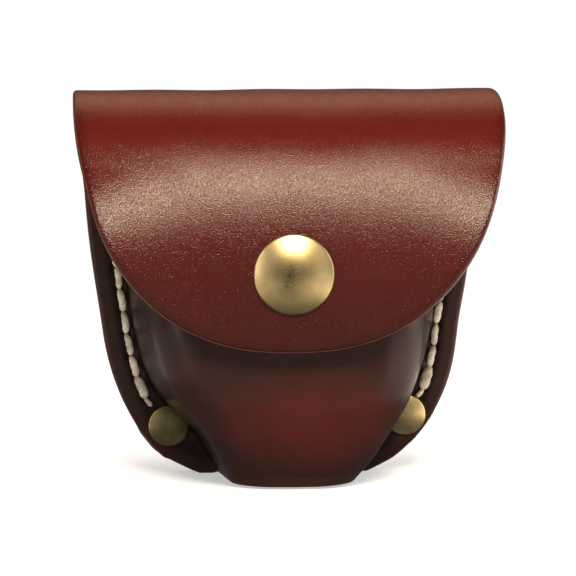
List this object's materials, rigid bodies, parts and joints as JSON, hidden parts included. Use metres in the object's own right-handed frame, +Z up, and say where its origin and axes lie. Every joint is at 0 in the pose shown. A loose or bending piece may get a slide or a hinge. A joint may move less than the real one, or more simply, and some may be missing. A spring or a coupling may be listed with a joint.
{
  "type": "leather belt pouch",
  "caption": "Small wet-moulded leather pouch with a fold-over flap, snap fastener, saddle-stitched sides, riveted lower corners, an open throat below and a belt loop behind.",
  "frame": {"origin": "under the middle of the whole part, on the surface that it stands on", "axes": "+Z up, -Y out of the flap's front, +X to the right of someone who faces the flap"},
  "size_m": [0.0804, 0.0488, 0.075],
  "materials": {
    "red_hide": "burnished oxblood bridle leather",
    "moulded_hide": "wet-moulded oxblood bridle leather",
    "brass": "satin",
    "rivet_brass": "tarnished satin",
    "spring_wire": "drawn wire",
    "waxed_thread": "waxed linen thread"
  },
  "bodies": {
    "pouch": {"back_panel": "red_hide", "front_panel": "moulded_hide", "belt_loop": "red_hide", "snap_stud": "brass", "snap_eyelet": "brass", "rivet_cap_left": "rivet_brass", "rivet_cap_right": "rivet_brass", "rivet_post_left": "rivet_brass", "rivet_post_right": "rivet_brass", "seam_thread_left": "waxed_thread", "seam_thread_right": "waxed_thread", "loop_thread_top": "waxed_thread", "loop_thread_bottom": "waxed_thread"},
    "top": {"flap_top": "red_hide"},
    "front": {"flap_front": "red_hide", "snap_cap": "brass", "snap_socket": "brass", "snap_spring": "spring_wire"}
  },
  "joints": [
    {"name": "flap_fold", "type": "hinge", "parent": "pouch", "child": "top", "pos_m": [0, 0.01539, 0.07354], "axis": [-1, 0, 0], "range_deg": [0, 40]},
    {"name": "flap_bend", "type": "hinge", "parent": "top", "child": "front", "pos_m": [0, -0.01389, 0.06681], "axis": [-1, 0, 0], "range_deg": [0, 80], "deforming": ["snap_spring"]}
  ],
  "couplings": [
    {"joint": "flap_bend", "follows": "flap_fold", "ratio": 2}
  ]
}
